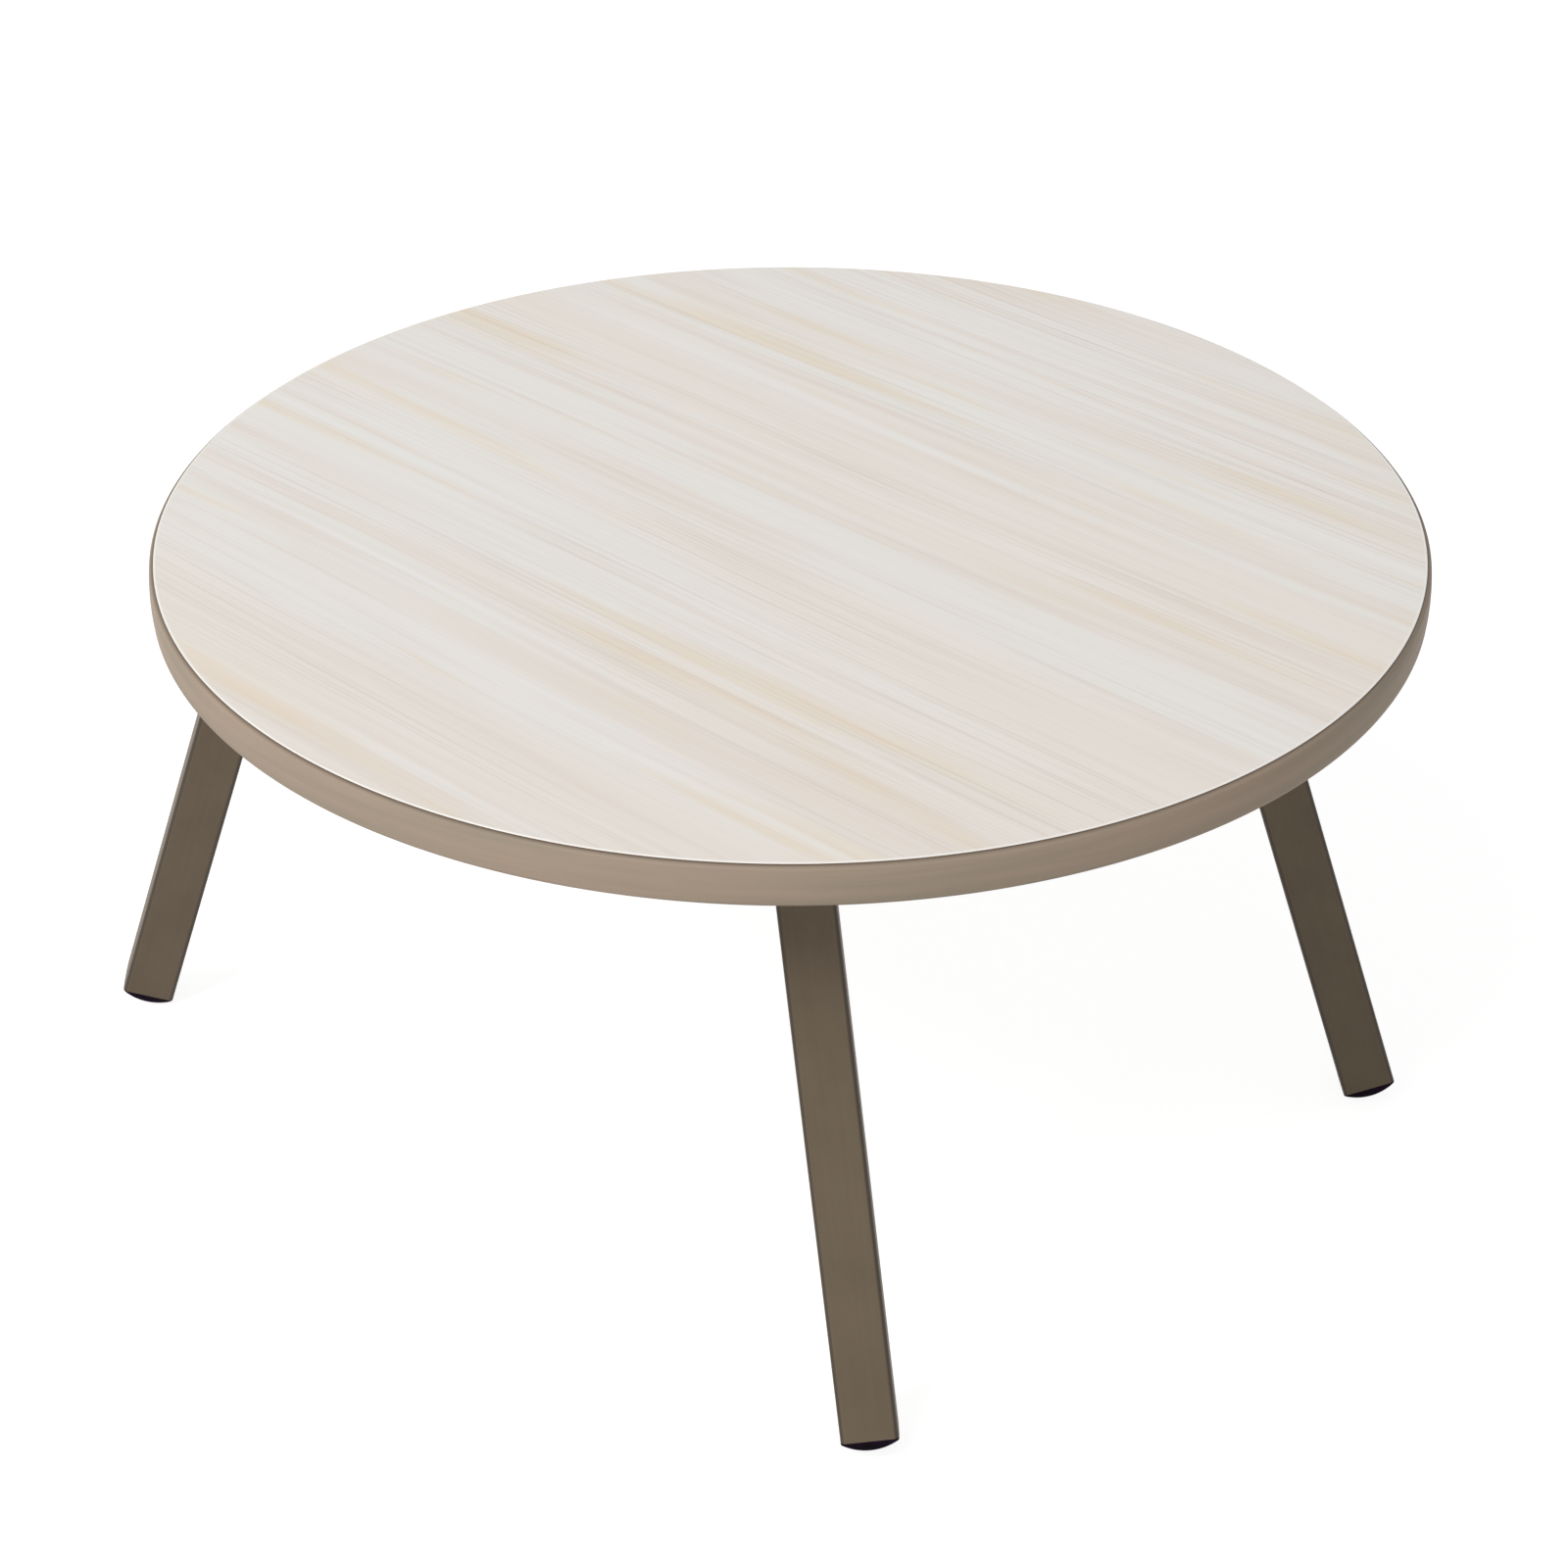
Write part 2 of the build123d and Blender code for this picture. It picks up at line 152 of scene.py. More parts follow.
def surface(name, points, ring_rows=False, ring_columns=False, ends=False, crease=30):
    """Object from an array of points with the shape (rows, columns, 3), in metres. With ends,
    the first and the last row are each closed by one face. Points that coincide are merged.
    Where faces meet at more than the crease angle, in degrees, the edge stays sharp."""
    rows, columns = points.shape[:2]
    faces = grid_faces(rows, columns, ring_rows, ring_columns).tolist()
    if ends:
        faces += [list(range(columns)), list(range((rows - 1) * columns, rows * columns))]
    mesh = bpy.data.meshes.new(name)
    mesh.from_pydata(points.reshape(-1, 3).tolist(), [], faces)
    work = bmesh.new()
    work.from_mesh(mesh)
    bmesh.ops.remove_doubles(work, verts=work.verts, dist=merge_distance)
    bmesh.ops.recalc_face_normals(work, faces=work.faces)
    open_edges = sum(len(edge.link_faces) != 2 for edge in work.edges)
    work.to_mesh(mesh)
    work.free()
    mesh.shade_smooth()
    mesh.set_sharp_from_angle(angle=radians(crease))
    thing = bpy.data.objects.new(name, mesh)
    bpy.context.scene.collection.objects.link(thing)
    print(f"{name}: {len(mesh.polygons)} faces, {open_edges} open edges")
    return thing


def arc(centre, width, height, start, stop, count=9):
    """Points of an ellipse's arc: the centre plus width times the cosine and height times the
    sine of an angle that runs in equal steps from start to stop, in degrees."""
    angle = np.radians(np.linspace(start, stop, count))
    return np.stack([centre[0] + width * np.cos(angle), centre[1] + height * np.sin(angle)], axis=-1)


def turned_round(profile, azimuths):
    """A profile of (radius, height) pairs, carried round the vertical axis: every row stands
    at one azimuth, and each of its points at radius times the azimuth's cosine and sine."""
    radius, height = profile.T
    azimuths = np.asarray(azimuths)[:, None]
    heights = np.broadcast_to(height, (len(azimuths), len(height)))
    return np.stack([radius * np.cos(azimuths), radius * np.sin(azimuths), heights], axis=-1)


# %% [markdown]
# ## The sheet on the top
#
# The top face is a sheet of melamine laminate, little more than a millimetre thick. Its rim
# is eased with a file, so that it doesn't cut, and that narrow bevel catches the light all
# the way round; its finish adds a painted highlight there too. Below it, the brown paper inside
# the sheet shows as a thin dark line. A flat disc would lose both, so the sheet is a profile
# turned about the vertical axis: flat face, quarter of an ellipse, straight edge, underside.

# %% Top sheet
low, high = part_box("top_laminate")
top_radius = (high.x - low.x) / 2
top_face = high.z
rim_steps = 720
face_rings = 6
ease_width = 0.8 * MM
ease_depth = 0.35 * MM
whole_turn = np.linspace(0, 2 * np.pi, rim_steps, endpoint=False)

flat_radii = np.linspace(0, top_radius - ease_width, face_rings)
sheet_profile = np.concatenate([
    np.stack([flat_radii, np.full(face_rings, top_face)], axis=-1),
    arc((top_radius - ease_width, top_face - ease_depth), ease_width, ease_depth, 90, 0)[1:],
    [(top_radius, low.z), (0, low.z)],
])
top_sheet = surface("top_sheet", turned_round(sheet_profile, whole_turn), ring_rows=True)
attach(top_sheet, "tabletop")
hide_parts("top_laminate")
print("top is", round(2 * top_radius / MM), "mm across, at", round(top_face / MM, 1), "mm")

# %% [markdown]
# ## The moulding round the edge
#
# The board's edge is covered by a D-shaped moulding, extruded in soft vinyl, with a spline
# that is pressed into a slot in the board. Its upper edge is a little lower than in the frame,
# so that the sheet's dark line shows above it. It goes round the table once, and its two ends
# meet in a butt joint. So the profile is not turned through a full circle: it starts on one
# side of the joint and stops on the other, and both ends are closed.

# %% Edge moulding
low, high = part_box("edge_band")
lowered = 0.6 * MM
moulding_top, moulding_foot = high.z - lowered, low.z
moulding_radius = (high.x - low.x) / 2
shoulder = 2.1 * MM
joint_azimuth = radians(135)
joint_gap = 0.4 * MM
spline_depth = 9 * MM
spline_half = 1 * MM
crown_points = 15

middle = (moulding_top + moulding_foot) / 2
crown = moulding_radius - top_radius - shoulder
straight = (moulding_top - moulding_foot) / 2 - shoulder
across = np.linspace(1, -1, crown_points)[1:-1]
moulding_profile = np.concatenate([
    arc((top_radius, moulding_top - shoulder), shoulder, shoulder, 90, 0),
    np.stack([top_radius + shoulder + crown * (1 - across ** 2), middle + straight * across], axis=-1),
    arc((top_radius, moulding_foot + shoulder), shoulder, shoulder, 0, -90),
    [(top_radius, middle - spline_half), (top_radius - spline_depth, middle - spline_half),
     (top_radius - spline_depth, middle + spline_half), (top_radius, middle + spline_half)],
])
half_gap = joint_gap / 2 / moulding_radius
run = joint_azimuth + np.linspace(half_gap, 2 * np.pi - half_gap, rim_steps)
moulding = surface("edge_moulding", turned_round(moulding_profile, run), ring_columns=True, ends=True)
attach(moulding, "tabletop")
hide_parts("edge_band")
print("moulding is", round((moulding_top - moulding_foot) / MM, 1), "mm high")

# %% [markdown]
# ## Where each leg is
#
# Every leg leans in two directions, so its own pieces are worked out upright, in the leg's
# own axes, and then turned into place. The bolt gives one axis. The tube's long direction
# gives the other, once its part along the bolt is taken off.

# %% Axes of the legs
def corners_of(node):
    """All points of a node's mesh as one array."""
    mesh = frame["nodes"][node].data
    flat = np.empty(len(mesh.vertices) * 3, np.float32)
    mesh.vertices.foreach_get("co", flat)
    return flat.reshape(-1, 3).astype(float)


def leg_axes(leg):
    """Matrix of one open leg: origin at its pivot, z up along the tube and y along the bolt.
    The tube's long direction is the first right singular vector of its centred points."""
    joint = next(joint for joint in frame["joints"] if joint["child"] == f"leg_{leg}")
    bolt = Vector(joint["axis"]).normalized()
    points = corners_of(f"leg_tube_{leg}")
    up = Vector(np.linalg.svd(points - points.mean(axis=0), full_matrices=False)[2][0])
    up = (up - bolt * up.dot(bolt)).normalized()
    up = up if up.z > 0 else -up
    turn = Matrix((bolt.cross(up), bolt, up)).transposed().to_4x4()
    return Matrix.Translation(joint["pos_m"]) @ turn


def placed(points, axes):
    """Points given in a leg's own axes, as points of the table: turned, then shifted."""
    turn = np.array(axes.to_3x3())
    return points @ turn.T + np.array(axes.translation)


axes_of = {leg: leg_axes(leg) for leg in LEGS}
tube_points = placed(corners_of("leg_tube_front_right"), axes_of["front_right"].inverted())
tube_foot, tube_head = tube_points[:, 2].min(), tube_points[:, 2].max()
tube_half = tube_points[:, 1].max()
print("tube runs from", round(tube_foot / MM, 2), "to", round(tube_head / MM, 2), "mm of its pivot")
print("it is", [round(2 * tube_points[:, k].max() / MM, 2) for k in (0, 1)], "mm wide")

# %% [markdown]
# ## The plugs in the feet
#
# Each tube ends in a moulded plastic plug with a domed sole, so that the leaning leg stands on
# a rounded face. The sole is part of a ball, as wide as the tube is from corner to corner, and
# the four sides cut it off. So each side ends in an arch, which shows as a black crescent under
# the tube. A small rounding runs along the arches, because a moulded edge is never sharp.

# %% Foot plugs
plug_corner = 2.5 * MM
plug_dome = 7.48 * MM
plug_rounding = 0.5 * MM
stub_half = 11.6 * MM
stub_length = 17 * MM
edge_rows = 5
sole_rows = 20


def rounded_square(half, corner, count=96):
    """Points in equal steps along the outline of a rounded square: four quarter circles about
    the inner corners, resampled by the length run along them."""
    reach = half - corner
    centres = ((reach, reach), (-reach, reach), (-reach, -reach), (reach, -reach))
    loop = np.concatenate([arc(c, corner, corner, 90 * k, 90 * k + 90) for k, c in enumerate(centres)])
    loop = np.concatenate([loop, loop[:1]])
    lengths = np.concatenate([[0], np.cumsum(np.linalg.norm(np.diff(loop, axis=0), axis=1))])
    even = np.linspace(0, lengths[-1], count, endpoint=False)
    return np.stack([np.interp(even, lengths, loop[:, k]) for k in (0, 1)], axis=-1)


def sole_depth(x, y):
    """Depth of the ball under the tube's end: the root of radius squared less x and y squared,
    less what the ball's centre lies above that end."""
    radius = (2 * tube_half ** 2 + plug_dome ** 2) / (2 * plug_dome)
    return np.sqrt(radius ** 2 - x ** 2 - y ** 2) - (radius - plug_dome)


def foot_plug():
    """Rows from the top of the stub, down its side, out to the tube's outline, round the edge
    and in over the sole. A row is the outline at its own scale. Each point of the sole lies at
    the ball's depth, less a lift that rounds the edge: rounding times one less the sine."""
    outline = rounded_square(tube_half, plug_corner)
    share = stub_half / tube_half
    angle = np.linspace(0, np.pi / 2, edge_rows)
    stub = [0, share, share, 1]
    edge = 1 - plug_rounding / tube_half * (1 - np.cos(angle))
    sole = np.linspace(edge[-1], 0, sole_rows)[1:]
    stub_heights = [stub_length, stub_length, 0, 0]
    edge_lifts = plug_rounding * (1 - np.sin(angle))

    scales = np.concatenate([stub, edge, sole])
    heights = np.concatenate([stub_heights, edge_lifts, np.zeros(len(sole))])
    on_ball = np.arange(len(scales)) >= len(stub)
    flat = scales[:, None, None] * outline
    depth = sole_depth(flat[..., 0], flat[..., 1]) * on_ball[:, None]
    return np.concatenate([flat, (tube_foot + heights[:, None] - depth)[..., None]], axis=-1)


for leg in LEGS:
    plug = surface(f"foot_plug_sole_{leg}", placed(foot_plug(), axes_of[leg]), ring_columns=True)
    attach(plug, f"leg_{leg}")
    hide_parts(f"foot_plug_{leg}")
    print("   its lowest point is at", round(min(v.co.z for v in plug.data.vertices) / MM, 2), "mm")

# %% [markdown]
# ## Melamine laminate with a whitewashed grain
#
# A decorative laminate is a printed sheet of paper under clear melamine resin, pressed against
# a satin steel plate. The print shows whitewashed ash: a cool ivory ground, long soft streaks
# of beige and honey where the wash is thin, and fine lines of grain. To the eye it is flat,
# pale and slightly glossy. Noise that is stretched along the grain gives all of it. Each layer
# has its own length and width in millimetres, and one depth that is so large that the pattern
# hardly changes through the sheet. The pores of ash are a few tenths of a millimetre wide and
# would not show, so the finest lines are drawn coarser, about a millimetre wide. A slow
# sideways drift keeps the streaks from running dead straight.

# %% Whitewashed laminate
print_depth = 1000
drift_sideways = 14 * MM
STREAKS = (
    # length, width, level where it starts and where it is full, colour, strength
    (800, 74, 0.42, 0.66, "#e6dcd2", 0.65),
    (430, 28, 0.46, 0.68, "#e2d7cc", 0.50),
    (260, 8, 0.50, 0.74, "#ddd1c5", 0.45),
    (300, 20, 0.55, 0.73, "#e3d1b4", 0.55),
    (520, 11, 0.54, 0.72, "#ededed", 0.35),
)
LINES = (
    # length, width, level where they start and where they are full, strength
    (240, 1.7, 0.50, 0.72, 0.36),
    (100, 0.9, 0.50, 0.74, 0.30),
)


def whitewashed_laminate():
    """Streaks lie over the ground one by one. Then come the fine lines, stronger in some patches
    than in others, a painted highlight along the eased rim, and the brown cut edge under it. The
    surface's relief follows the finest lines, which are the last."""
    material, tree, shader = new_material("whitewashed_ash_melamine", Roughness=0.42, IOR=1.5)
    place = add(tree, "ShaderNodeTexCoord").outputs["Object"]

    spot = add(tree, "ShaderNodeMapping", {
        "Vector": place, "Scale": patches_of(400, 120, print_depth)})
    drift = add(tree, "ShaderNodeTexNoise", {"Vector": spot.outputs[0], "Scale": 1.0, "Detail": 1.0})
    sideways = add(tree, "ShaderNodeMath", {
        0: drift.outputs[0], 1: drift_sideways}, operation="MULTIPLY")
    shift = add(tree, "ShaderNodeCombineXYZ", {"Y": sideways.outputs[0]})
    drifted = add(tree, "ShaderNodeVectorMath", {0: place, 1: shift.outputs[0]}, operation="ADD")
    grain_place = drifted.outputs[0]

    colour = linear("#e7e4df")
    for number, (length, width, start, full, code, strength) in enumerate(STREAKS):
        spot = add(tree, "ShaderNodeMapping", {
            "Vector": grain_place,
            "Location": (7.3 * number, 3.1 * number, 0),
            "Scale": patches_of(length, width, print_depth),
        })
        streak = add(tree, "ShaderNodeTexNoise", {
            "Vector": spot.outputs[0], "Scale": 1.0, "Detail": 3.0, "Roughness": 0.45})
        amount = add(tree, "ShaderNodeMapRange", {
            "Value": streak.outputs[0], "From Min": start, "From Max": full, "To Max": strength,
        }, interpolation_type="SMOOTHSTEP")
        mixed = add(tree, "ShaderNodeMix", {0: amount.outputs[0], 6: colour, 7: linear(code)},
                    data_type="RGBA")
        colour = mixed.outputs[2]

    spot = add(tree, "ShaderNodeMapping", {
        "Vector": grain_place, "Location": (5, 9, 0), "Scale": patches_of(340, 38, print_depth)})
    patches = add(tree, "ShaderNodeTexNoise", {
        "Vector": spot.outputs[0], "Scale": 1.0, "Detail": 2.0})
    patch_amount = add(tree, "ShaderNodeMapRange", {
        "Value": patches.outputs[0], "From Min": 0.38, "From Max": 0.62, "To Min": 0.3})
    for length, width, start, full, strength in LINES:
        spot = add(tree, "ShaderNodeMapping", {
            "Vector": grain_place, "Scale": patches_of(length, width, print_depth)})
        lines = add(tree, "ShaderNodeTexNoise", {
            "Vector": spot.outputs[0], "Scale": 1.0, "Detail": 2.0})
        amount = add(tree, "ShaderNodeMapRange", {
            "Value": lines.outputs[0], "From Min": start, "From Max": full, "To Max": strength,
        }, interpolation_type="SMOOTHSTEP")
        lined = add(tree, "ShaderNodeMath", {0: amount.outputs[0], 1: patch_amount.outputs[0]},
                    operation="MULTIPLY")
        grained = add(tree, "ShaderNodeMix", {0: lined.outputs[0], 6: colour, 7: linear("#c9bdb0")},
                      data_type="RGBA")
        colour = grained.outputs[2]

    # Painted highlight: the rim and its bevel are paler, as if they caught the light.
    rim = add(tree, "ShaderNodeMapRange", {
        "Value": from_axis(tree, place),
        "From Min": top_radius - 1.5 * ease_width,
        "From Max": top_radius - ease_width,
    })
    rim_highlight = add(tree, "ShaderNodeMix", {0: rim.outputs[0], 6: colour, 7: linear("#efebe5")},
                data_type="RGBA")
    parts = add(tree, "ShaderNodeSeparateXYZ", {"Vector": place})
    below_ease = add(tree, "ShaderNodeMapRange", {
        "Value": parts.outputs[2],
        "From Min": top_face - ease_depth,
        "From Max": top_face - 1.1 * ease_depth,
    })
    cut = add(tree, "ShaderNodeMix", {
        0: below_ease.outputs[0], 6: rim_highlight.outputs[2], 7: linear("#6f5c4c")}, data_type="RGBA")
    tree.links.new(cut.outputs[2], shader.inputs["Base Color"])

    relief = add(tree, "ShaderNodeBump", {
        "Height": lines.outputs[0], "Strength": 0.08, "Distance": 0.1 * MM})
    tree.links.new(relief.outputs[0], shader.inputs["Normal"])
    return material


dress(top_sheet, whitewashed_laminate())
print("laminate has", len(STREAKS), "layers of streaks and", len(LINES), "of lines over its ground")

# %% [markdown]
# ## Vinyl, particle board and backing
#
# The moulding is soft vinyl, coloured in the mass and drawn through a die. The die leaves faint
# lines along it, so its pattern is long along the edge. Real die lines are finer, and these are
# drawn 0.9 mm high so that they show. Where the moulding meets the board, painted shade darkens
# its colour over both shoulders: a soft dark shadow line at the joint, spread wide enough that
# the upper shoulder shows no highlight. Particle board is pressed from wood chips, which cell
# noise draws. The backing is plain resin-soaked paper, matt and faintly clouded.

# %% Edge moulding and board
def extruded_vinyl():
    """Fine die lines and wider clouds give two tones; painted shade darkens the shoulders."""
    material, tree, shader = new_material("extruded_vinyl", Roughness=0.6, IOR=1.3)
    place = add(tree, "ShaderNodeTexCoord").outputs["Object"]
    along = add(tree, "ShaderNodeMapping", {"Vector": place, "Scale": patches_of(70, 70, 0.9)})
    lines = add(tree, "ShaderNodeTexNoise", {"Vector": along.outputs[0], "Scale": 1.0, "Detail": 3.0})
    wide = add(tree, "ShaderNodeMapping", {"Vector": place, "Scale": patches_of(160, 160, 9)})
    clouds = add(tree, "ShaderNodeTexNoise", {"Vector": wide.outputs[0], "Scale": 1.0, "Detail": 2.0})
    both = add(tree, "ShaderNodeMix", {0: 0.75, 2: lines.outputs[0], 3: clouds.outputs[0]})
    amount = add(tree, "ShaderNodeMapRange", {
        "Value": both.outputs[0], "From Min": noise_low, "From Max": noise_high})
    colour = add(tree, "ShaderNodeMix", {
        0: amount.outputs[0], 6: linear("#9b8e7d"), 7: linear("#ac9887")}, data_type="RGBA")

    # Painted shade: a shadow line at the joint with the board, spread over both shoulders.
    joint = add(tree, "ShaderNodeMapRange", {
        "Value": from_axis(tree, place),
        "From Min": top_radius + 0.2 * MM,
        "From Max": top_radius + shoulder,
        "To Min": 0.75,
        "To Max": 0.0,
    })
    painted_joint_shade = add(tree, "ShaderNodeMix", {
        0: joint.outputs[0], 6: colour.outputs[2], 7: linear("#574b3f")}, data_type="RGBA")
    tree.links.new(painted_joint_shade.outputs[2], shader.inputs["Base Color"])
    relief = add(tree, "ShaderNodeBump", {
        "Height": lines.outputs[0], "Strength": 0.15, "Distance": 0.1 * MM})
    tree.links.new(relief.outputs[0], shader.inputs["Normal"])
    return material


def particle_board():
    """Each cell of the noise is one chip, with its own tone and a slightly raised middle."""
    material, tree, shader = new_material("particle_board", Roughness=0.85)
    place = add(tree, "ShaderNodeTexCoord").outputs["Object"]
    chips = add(tree, "ShaderNodeTexVoronoi", {
        "Vector": place, "Scale": 1 / (2.5 * MM), "Randomness": 1.0})
    colour = add(tree, "ShaderNodeMix", {
        0: chips.outputs["Color"], 6: linear("#b08a5c"), 7: linear("#d8bd92")}, data_type="RGBA")
    tree.links.new(colour.outputs[2], shader.inputs["Base Color"])
    relief = add(tree, "ShaderNodeBump", {
        "Height": chips.outputs["Distance"], "Strength": 0.4, "Distance": 0.3 * MM})
    tree.links.new(relief.outputs[0], shader.inputs["Normal"])
    return material


def backing_paper():
    """Two close tones wander in clouds, and the same clouds give a slight relief."""
    material, tree, shader = new_material("backing_laminate", Roughness=0.6)
    place = add(tree, "ShaderNodeTexCoord").outputs["Object"]
    clouds = add(tree, "ShaderNodeTexNoise", {"Vector": place, "Scale": 1 / (9 * MM), "Detail": 5.0})
    amount = add(tree, "ShaderNodeMapRange", {
        "Value": clouds.outputs[0], "From Min": 0.3, "From Max": 0.7})
    colour = add(tree, "ShaderNodeMix", {
        0: amount.outputs[0], 6: linear("#cfc6b8"), 7: linear("#d9d2c6")}, data_type="RGBA")
    tree.links.new(colour.outputs[2], shader.inputs["Base Color"])
    relief = add(tree, "ShaderNodeBump", {
        "Height": clouds.outputs[0], "Strength": 0.1, "Distance": 0.1 * MM})
    tree.links.new(relief.outputs[0], shader.inputs["Normal"])
    return material


dress(moulding, extruded_vinyl())
dress(frame["nodes"]["top_core"], particle_board())
dress(frame["nodes"]["backing_laminate"], backing_paper())
print("board, moulding and backing are finished")

# %% [markdown]
# ## Powder-coated steel
#
# Tubes and brackets are dusted with dry brown paint and baked. The coat melts into an even
# skin with a fine, soft ripple, called orange peel, and it stays satin. It is paint, so it is
# not metallic. A tube was drawn before it was coated, and faint lines along it still show
# through. They are drawn 2.2 mm wide here, coarser than real ones, so that they show. The
# tube's rounded corners get painted shade: their colour darkens towards a near-black brown, so
# they read as dark edges. Lines and corners have to follow each leaning leg, so a Mapping node
# first turns the coordinates into the leg's own axes. A point is on a corner where its
# distances from both middle planes are large, so the smaller of the two tells it.

# %% Powder coat
corner_start = tube_half - plug_corner


def powder_coat(name, axes, corner_shade):
    """Coat of one leg's steel. Its third argument is how strongly shade is painted on the corners."""
    material, tree, shader = new_material(f"powder_coat_{name}", Roughness=0.55, IOR=1.4)
    place = add(tree, "ShaderNodeTexCoord").outputs["Object"]
    turned = add(tree, "ShaderNodeMapping", {
        "Vector": place, "Location": axes.translation, "Rotation": axes.to_euler(),
    }, vector_type="TEXTURE")
    own = turned.outputs[0]
    along = add(tree, "ShaderNodeMapping", {"Vector": own, "Scale": patches_of(2.2, 2.2, 70)})
    lines = add(tree, "ShaderNodeTexNoise", {"Vector": along.outputs[0], "Scale": 1.0, "Detail": 3.0})
    clouds = add(tree, "ShaderNodeTexNoise", {"Vector": own, "Scale": 1 / (30 * MM), "Detail": 2.0})
    both = add(tree, "ShaderNodeMix", {0: 0.7, 2: lines.outputs[0], 3: clouds.outputs[0]})
    amount = add(tree, "ShaderNodeMapRange", {
        "Value": both.outputs[0], "From Min": noise_low, "From Max": noise_high})
    colour = add(tree, "ShaderNodeMix", {
        0: amount.outputs[0], 6: linear("#615443"), 7: linear("#675a48")}, data_type="RGBA")

    apart = add(tree, "ShaderNodeVectorMath", {0: own}, operation="ABSOLUTE")
    parts = add(tree, "ShaderNodeSeparateXYZ", {"Vector": apart.outputs[0]})
    smaller = add(tree, "ShaderNodeMath", {
        0: parts.outputs[0], 1: parts.outputs[1]}, operation="MINIMUM")
    # Painted shade: the tube's rounded corners darken towards a near-black brown.
    corner = add(tree, "ShaderNodeMapRange", {
        "Value": smaller.outputs[0],
        "From Min": corner_start + 0.3 * MM,
        "From Max": corner_start + 1.5 * MM,
        "To Max": corner_shade,
    }, interpolation_type="SMOOTHSTEP")
    painted_corner_shade = add(tree, "ShaderNodeMix", {
        0: corner.outputs[0], 6: colour.outputs[2], 7: linear("#2b241d")}, data_type="RGBA")
    tree.links.new(painted_corner_shade.outputs[2], shader.inputs["Base Color"])

    peel = add(tree, "ShaderNodeTexNoise", {"Vector": own, "Scale": 1 / (1.2 * MM), "Detail": 1.0})
    relief = add(tree, "ShaderNodeBump", {
        "Height": peel.outputs[0], "Strength": 0.25, "Distance": 0.1 * MM})
    tree.links.new(relief.outputs[0], shader.inputs["Normal"])
    return material


# Tubes get painted shade on their corners, brackets none.
for leg in LEGS:
    for piece, corner_shade in (("tube", 0.7), ("bracket", 0.0)):
        coat = powder_coat(f"{piece}_{leg}", axes_of[leg], corner_shade)
        dress(frame["nodes"][f"leg_{piece}_{leg}"], coat)
print("four legs and four brackets are coated")

# %% [markdown]
# ## Small parts
#
# Foot plugs and top caps are moulded in black polyethylene: dark, with a faint violet cast,
# and dulled by a fine texture in the mould. Screws, rivets, bolts, nuts and sleeves are
# zinc-plated, bright and a little cloudy. The detent springs are bare hardened steel, rolled,
# with a thin film of oil. The washers are natural nylon, a milky off-white.

# %% Plastic, zinc, spring steel and nylon
def mottled(name, dark, light, patch, grain, **sockets):
    """A material whose colour wanders between two tones in patches of a given size, over a
    relief with a given grain, both in millimetres."""
    material, tree, shader = new_material(name, **sockets)
    place = add(tree, "ShaderNodeTexCoord").outputs["Object"]
    clouds = add(tree, "ShaderNodeTexNoise", {"Vector": place, "Scale": 1 / (patch * MM), "Detail": 3.0})
    amount = add(tree, "ShaderNodeMapRange", {
        "Value": clouds.outputs[0], "From Min": noise_low, "From Max": noise_high})
    colour = add(tree, "ShaderNodeMix", {
        0: amount.outputs[0], 6: linear(dark), 7: linear(light)}, data_type="RGBA")
    tree.links.new(colour.outputs[2], shader.inputs["Base Color"])
    grains = add(tree, "ShaderNodeTexNoise", {"Vector": place, "Scale": 1 / (grain * MM), "Detail": 2.0})
    relief = add(tree, "ShaderNodeBump", {
        "Height": grains.outputs[0], "Strength": 0.2, "Distance": 0.05 * MM})
    tree.links.new(relief.outputs[0], shader.inputs["Normal"])
    return material


black_plastic = mottled("moulded_polyethylene", "#0b050c", "#1b0d20", patch=6, grain=0.5,
                        Roughness=0.7, IOR=1.15)
zinc = mottled("zinc_plated_steel", "#a9adb1", "#c3c6c9", patch=3, grain=0.4,
               Metallic=1.0, Roughness=0.34)
spring_steel = mottled("oiled_spring_steel", "#6a6865", "#7f7d79", patch=8, grain=0.3,
                       Metallic=1.0, Roughness=0.4)
nylon = mottled("natural_nylon", "#dcd8cc", "#e8e5db", patch=4, grain=0.4,
                Roughness=0.45, IOR=1.53)

for leg in LEGS:
    dress(bpy.data.objects[f"foot_plug_sole_{leg}"], black_plastic)
    dress(frame["nodes"][f"top_cap_{leg}"], black_plastic)
    dress(frame["nodes"][f"detent_spring_{leg}"], spring_steel)
    dress(frame["nodes"][f"pivot_sleeve_{leg}"], zinc)
for node in ("pivot_bolts", "pivot_nuts", "bracket_screws", "spring_rivets"):
    dress(frame["nodes"][node], zinc)
dress(frame["nodes"]["pivot_washers"], nylon)
print("small parts are finished")

# %% [markdown]
# ## Floor and light
#
# The table stands on a plain white floor in a bright room. To other surfaces the floor is a
# pale grey, so it doesn't throw the lamps' full light up under the table. To the camera and in
# reflections most of its white is a glow of its own, and the lamps add the rest. The table's
# shadow takes away only what the lamps add, so it is there, but very faint.

# %% Floor
def pale(tree, plain, bright):
    """Shader that is bright to the camera, to reflections and through glass, else plain."""
    path = add(tree, "ShaderNodeLightPath")
    seen = add(tree, "ShaderNodeMath", {
        0: path.outputs["Is Camera Ray"], 1: path.outputs["Is Glossy Ray"]}, operation="MAXIMUM")
    seen = add(tree, "ShaderNodeMath", {
        0: seen.outputs[0], 1: path.outputs["Is Transmission Ray"]}, operation="MAXIMUM")
    return add(tree, "ShaderNodeMixShader", {0: seen.outputs[0], 1: plain, 2: bright})


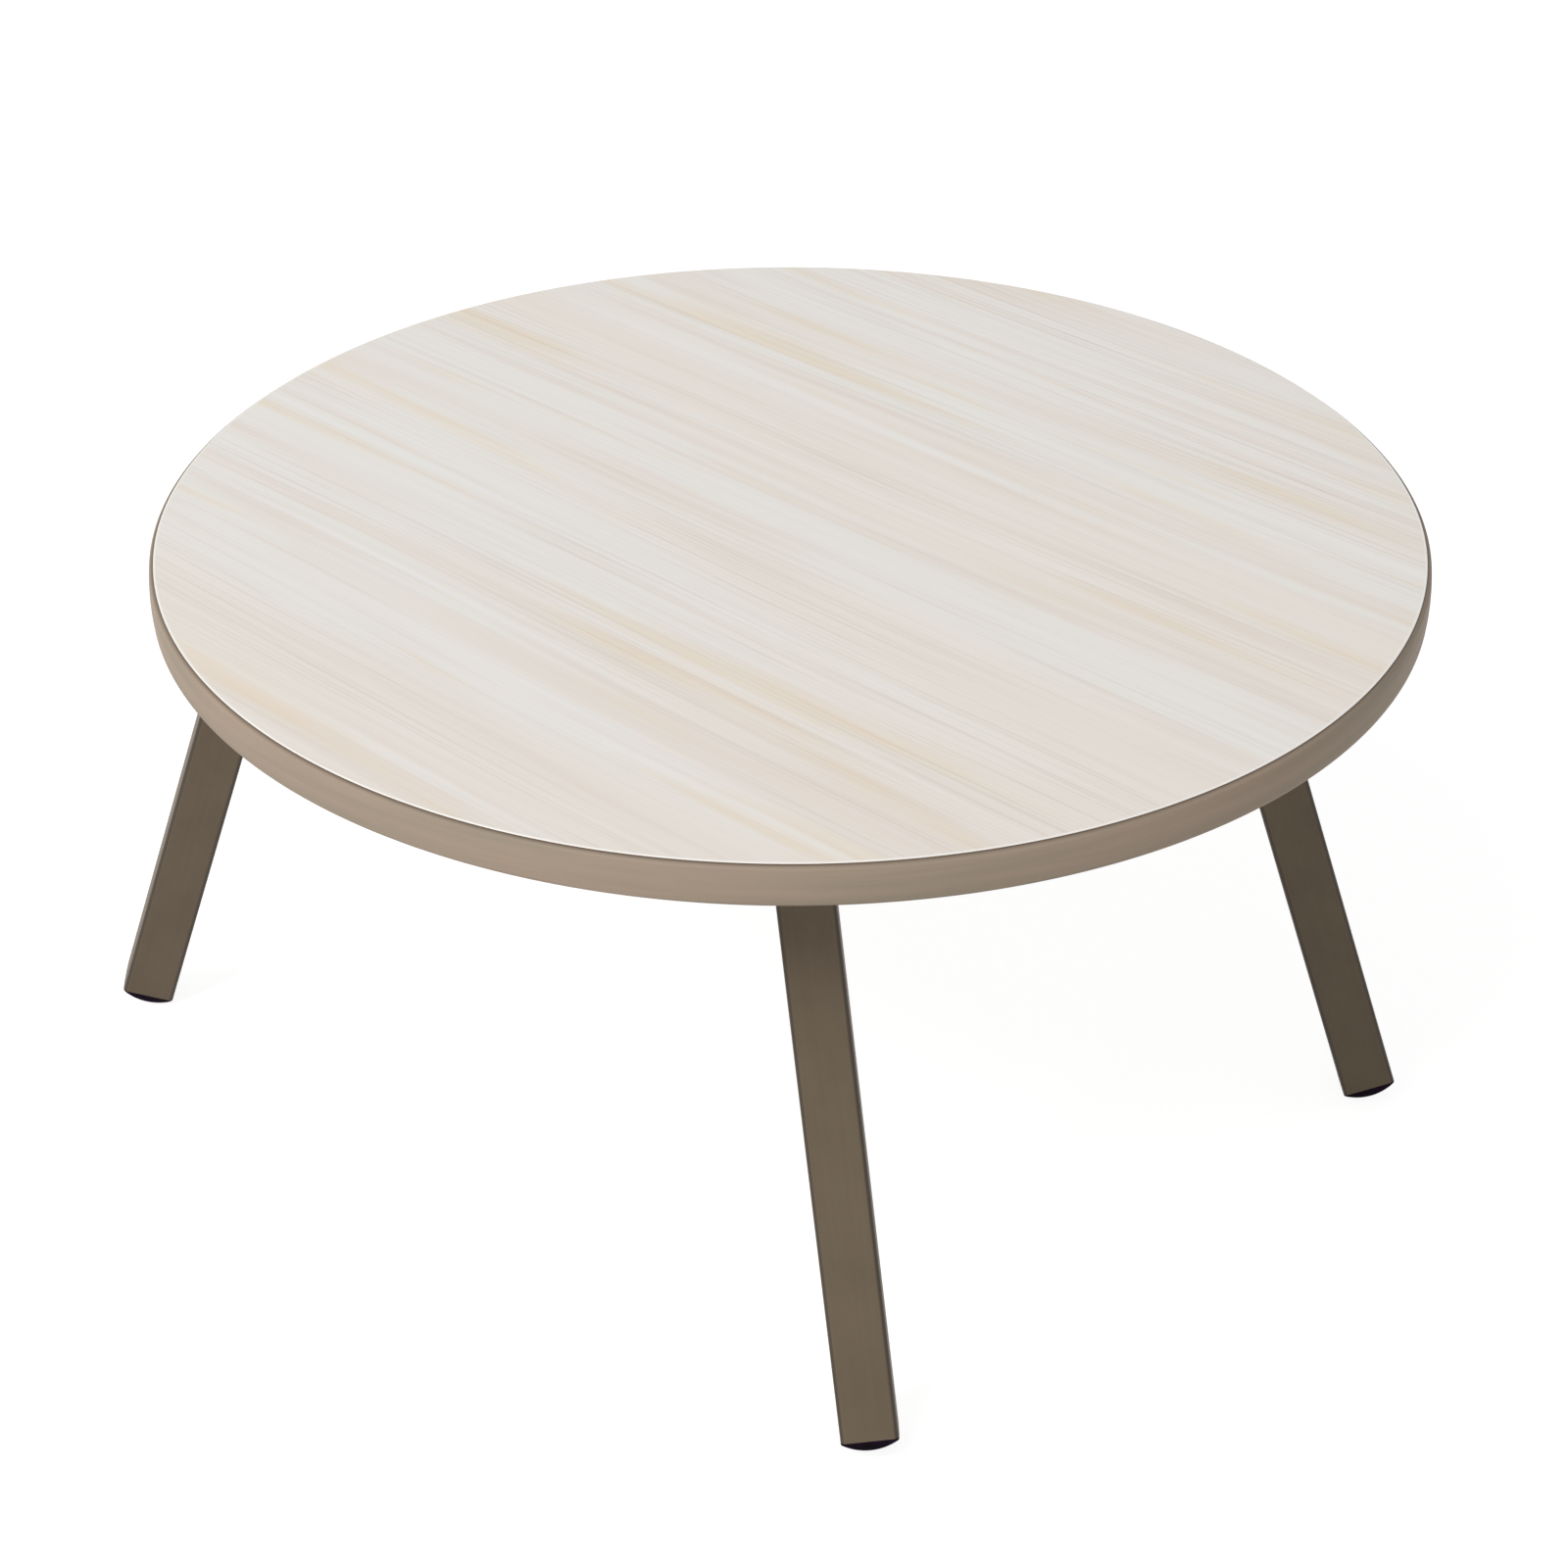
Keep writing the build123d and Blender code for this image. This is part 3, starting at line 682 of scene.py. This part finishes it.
floor_half = 8.0
floor_mesh = bpy.data.meshes.new("floor")
floor_corners = [(-floor_half, -floor_half, 0), (floor_half, -floor_half, 0),
                 (floor_half, floor_half, 0), (-floor_half, floor_half, 0)]
floor_mesh.from_pydata(floor_corners, [], [(0, 1, 2, 3)])
floor = bpy.data.objects.new("floor", floor_mesh)
bpy.context.scene.collection.objects.link(floor)

floor_paint = bpy.data.materials.new("white_floor")
floor_paint.use_nodes = True
tree = floor_paint.node_tree
tree.nodes.clear()
reflecting = add(tree, "ShaderNodeBsdfDiffuse", {"Color": linear("#dedcda")})
faint = add(tree, "ShaderNodeBsdfDiffuse", {"Color": linear("#8c8c8c")})
glow = add(tree, "ShaderNodeEmission", {"Color": linear("#ffffff"), "Strength": 0.91})
lit = add(tree, "ShaderNodeAddShader", {0: faint.outputs[0], 1: glow.outputs[0]})
shown = pale(tree, reflecting.outputs[0], lit.outputs[0])
add(tree, "ShaderNodeOutputMaterial", {"Surface": shown.outputs[0]})
dress(floor, floor_paint)
print("floor is", 2 * floor_half, "m wide")

# %% [markdown]
# The room is a plain world. It gives a soft light from everywhere and shows as white. One
# large soft lamp stands high up to the left and in front. It is far away, so the top is lit
# evenly, and the edge of the table is brighter on its left and falls off to the right. A
# second lamp, low on the right and much weaker, lightens what the top shades. Both are placed
# as the viewer sees them, so the camera's place and direction are given here already.

# %% Room and lamps
world = bpy.data.worlds.new("room")
bpy.context.scene.world = world
world.use_nodes = True
tree = world.node_tree
tree.nodes.clear()
soft = add(tree, "ShaderNodeBackground", {"Color": linear("#ffffff"), "Strength": 0.3})
white = add(tree, "ShaderNodeBackground", {"Color": linear("#ffffff"), "Strength": 1.0})
shown = pale(tree, soft.outputs[0], white.outputs[0])
add(tree, "ShaderNodeOutputWorld", {"Surface": shown.outputs[0]})

camera_place = Vector((1.1035, -1.1591, 1.1337))
view_direction = Vector((-0.5893, 0.6167, -0.5220)).normalized()
upright = Vector((0, 0, 1))
to_right = view_direction.cross(upright).normalized()
to_viewer = upright.cross(to_right).normalized() * -1
table_centre = Vector((0, 0, 0.25))


def lamp(name, place, target, size, power):
    """A square area lamp, turned so that it shines from its place to a target. Its size is the
    length of its side in metres, and its power is in watts."""
    light = bpy.data.lights.new(name, "AREA")
    light.size = size
    light.energy = power
    thing = bpy.data.objects.new(name, light)
    thing.location = place
    thing.rotation_euler = (target - place).to_track_quat("-Z", "Y").to_euler()
    bpy.context.scene.collection.objects.link(thing)


def around(turn, height, distance):
    """A place round the table: turned from the viewer's side, to the left if the turn is
    negative, at an angle above the horizon, in degrees, and at a distance in metres."""
    turn, height = radians(turn), radians(height)
    level = sin(turn) * to_right + cos(turn) * to_viewer
    return table_centre + distance * (cos(height) * level + sin(height) * upright)


left_place = around(turn=-50, height=50, distance=12.0)
right_place = around(turn=25, height=15, distance=6.0)
lamp("left_lamp", left_place, table_centre, size=6.0, power=1230)
lamp("right_lamp", right_place, table_centre, size=3.0, power=20)
print("room and", len(bpy.data.lights), "lamps are lit")

# %% [markdown]
# ## Camera
#
# The camera looks down at the table from the front, turned so that one leg points at it. A
# long lens keeps the round top close to a true ellipse.

# %% Camera
lens_length = 86.95
sensor_width = 36.0
camera_data = bpy.data.cameras.new("camera")
camera_data.lens = lens_length
camera_data.sensor_width = sensor_width
camera = bpy.data.objects.new("camera", camera_data)
camera.location = camera_place
camera.rotation_euler = view_direction.to_track_quat("-Z", "Y").to_euler()
bpy.context.scene.collection.objects.link(camera)
bpy.context.scene.camera = camera
bpy.context.scene.view_settings.view_transform = "Standard"
print("camera is", round(camera_place.length, 2), "m from the foot of the table")
